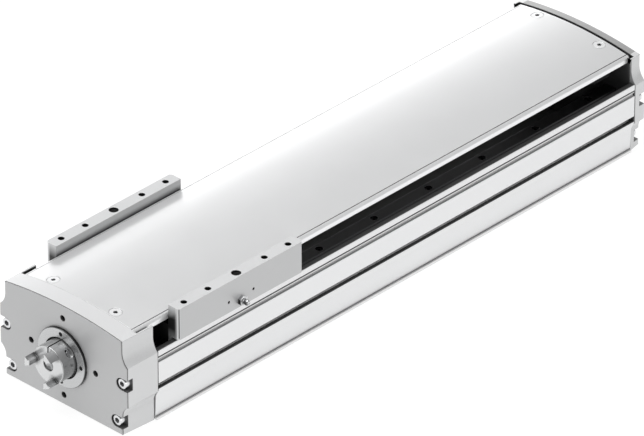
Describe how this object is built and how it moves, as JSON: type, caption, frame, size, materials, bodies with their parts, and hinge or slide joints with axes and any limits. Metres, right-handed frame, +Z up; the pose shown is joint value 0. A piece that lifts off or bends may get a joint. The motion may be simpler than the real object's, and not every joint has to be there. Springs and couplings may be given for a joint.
{
  "type": "ball screw linear axis",
  "caption": "Ball screw linear axis: an arched cover over an aluminium profile, with a slide whose two arms travel in side gaps, driven through a jaw coupling.",
  "frame": {"origin": "middle of the profile's flat underside", "axes": "+X from the drive end to the far end, along the travel; +Z up, square to the underside"},
  "size_m": [0.716, 0.1868, 0.109],
  "materials": {
    "profile": "natural anodised",
    "cover": "natural anodised",
    "end_caps": "blasted casting",
    "seam_plates": "matte",
    "slide": "milled, anodised",
    "screws": "zinc plated",
    "coupling": "turned",
    "spindle": "ground",
    "bearings": "polished",
    "guides": "ground",
    "guide_seals": "matte",
    "buffers": "matte"
  },
  "bodies": {
    "frame": {"profile": "profile", "cover": "cover", "drive_end_cap": "end_caps", "far_end_cap": "end_caps", "pilot_collar": "end_caps", "drive_seam_plate": "seam_plates", "far_seam_plate": "seam_plates", "far_bearing_block": "slide", "cover_screws": "screws", "drive_cap_screws": "screws", "far_cap_screws": "screws", "collar_screws": "screws", "retainer_screws": "screws", "far_block_screws": "screws", "rail_screws_left": "screws", "rail_screws_right": "screws", "bearing_retainer": "screws", "drive_bearing_outer_rings": "bearings", "drive_bearing_balls": "bearings", "far_bearing_outer_ring": "bearings", "far_bearing_balls": "bearings", "guide_rail_left": "guides", "guide_rail_right": "guides", "shaft_seal": "guide_seals", "drive_buffers": "buffers", "far_buffers": "buffers"},
    "carriage": {"slide": "slide", "grease_nipple_left": "screws", "grease_nipple_right": "screws", "guide_blocks": "guides", "guide_end_seals": "guide_seals", "guide_block_screws": "screws", "nut_bracket": "slide", "nut_bracket_screws": "screws", "ball_nut": "spindle", "nut_screws": "screws"},
    "spindle": {"spindle": "spindle", "drive_bearing_inner_rings": "bearings", "bearing_lock_nut": "screws", "far_bearing_inner_ring": "bearings", "far_snap_ring": "screws", "coupling_hub": "coupling", "clamp_screw": "screws"}
  },
  "joints": [
    {"name": "carriage_slide", "type": "slide", "parent": "frame", "child": "carriage", "axis": [1, 0, 0], "range_m": [-0.012, 0.412]},
    {"name": "spindle_spin", "type": "hinge", "parent": "frame", "child": "spindle", "pos_m": [0, 0, 0.052], "axis": [-1, 0, 0], "range_deg": [-220, 7420]}
  ],
  "couplings": [
    {"joint": "spindle_spin", "follows": "carriage_slide", "rad_per_m": 314.16}
  ]
}
